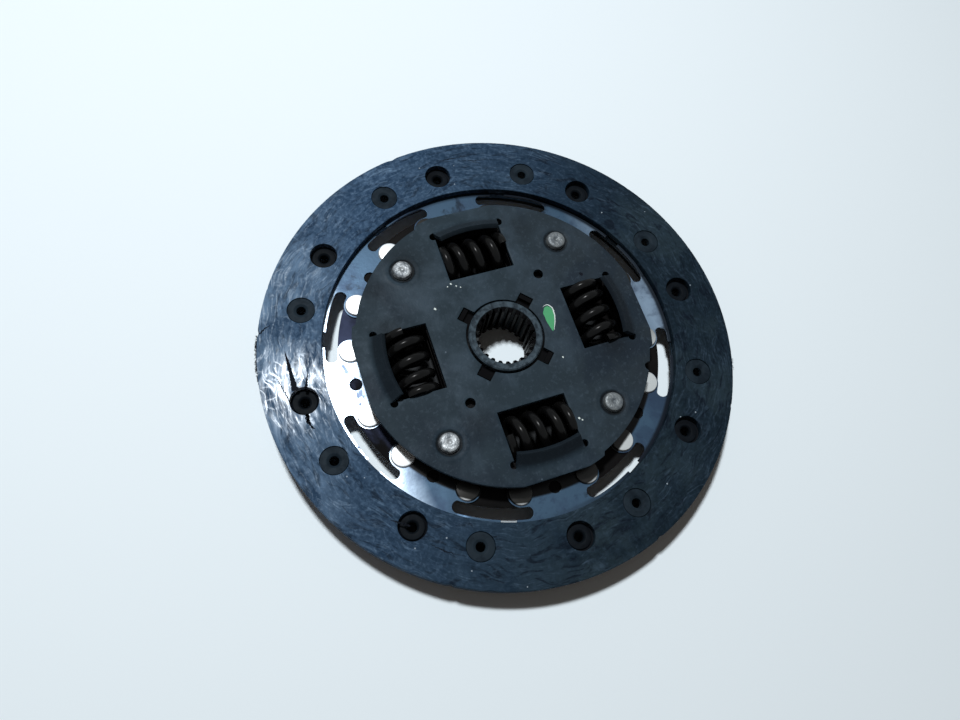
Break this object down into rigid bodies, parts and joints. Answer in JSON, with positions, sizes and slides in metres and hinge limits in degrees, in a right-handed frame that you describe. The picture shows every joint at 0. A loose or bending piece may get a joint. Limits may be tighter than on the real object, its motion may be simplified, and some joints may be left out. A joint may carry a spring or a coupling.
{
  "type": "clutch disc",
  "caption": "Sprung clutch disc: riveted friction facings on cushion segments, a damper with coil springs in lipped windows, and a splined hub.",
  "frame": {"origin": "on the disc's axis, at the end of the hub that the disc stands on", "axes": "+Z along the hub's bore, up through the retaining plate; the damper springs lie across +X, +Y, -X and -Y"},
  "size_m": [0.2, 0.2, 0.0246],
  "materials": {
    "friction_lining": "worn",
    "rivet_metal": "satin",
    "bright_steel": "satin",
    "plate_steel": "mottled",
    "cushion_steel": "satin",
    "hub_steel": "satin",
    "spring_steel": "semi-gloss",
    "bush_plastic": "matt"
  },
  "bodies": {
    "disc": {"upper_facing": "friction_lining", "lower_facing": "friction_lining", "upper_facing_rivets": "rivet_metal", "lower_facing_rivets": "rivet_metal", "cushion_segment_1": "cushion_steel", "cushion_segment_2": "cushion_steel", "cushion_segment_3": "cushion_steel", "cushion_segment_4": "cushion_steel", "cushion_segment_5": "cushion_steel", "cushion_segment_6": "cushion_steel", "cushion_segment_7": "cushion_steel", "cushion_segment_8": "cushion_steel", "segment_rivets": "bright_steel", "disc_plate": "plate_steel", "retaining_plate": "plate_steel", "stop_pins": "bright_steel", "friction_bush": "bush_plastic", "friction_washer": "bush_plastic", "spring_washer": "spring_steel"},
    "hub": {"hub": "hub_steel"},
    "springs": {"damper_spring_1": "spring_steel", "damper_spring_2": "spring_steel", "damper_spring_3": "spring_steel", "damper_spring_4": "spring_steel"}
  },
  "joints": [
    {"name": "hub_twist", "type": "hinge", "parent": "disc", "child": "hub", "pos_m": [0, 0, 0.01075], "axis": [0, 0, 1], "range_deg": [-10, 4.35], "stiffness_Nm_per_rad": 2600},
    {"name": "spring_swing", "type": "hinge", "parent": "disc", "child": "springs", "pos_m": [0, 0, 0.01075], "axis": [0, 0, 1], "range_deg": [-5, 2.2], "deforming": ["damper_spring_1", "damper_spring_2", "damper_spring_3", "damper_spring_4"]}
  ],
  "couplings": [
    {"joint": "spring_swing", "follows": "hub_twist", "ratio": 0.5}
  ]
}
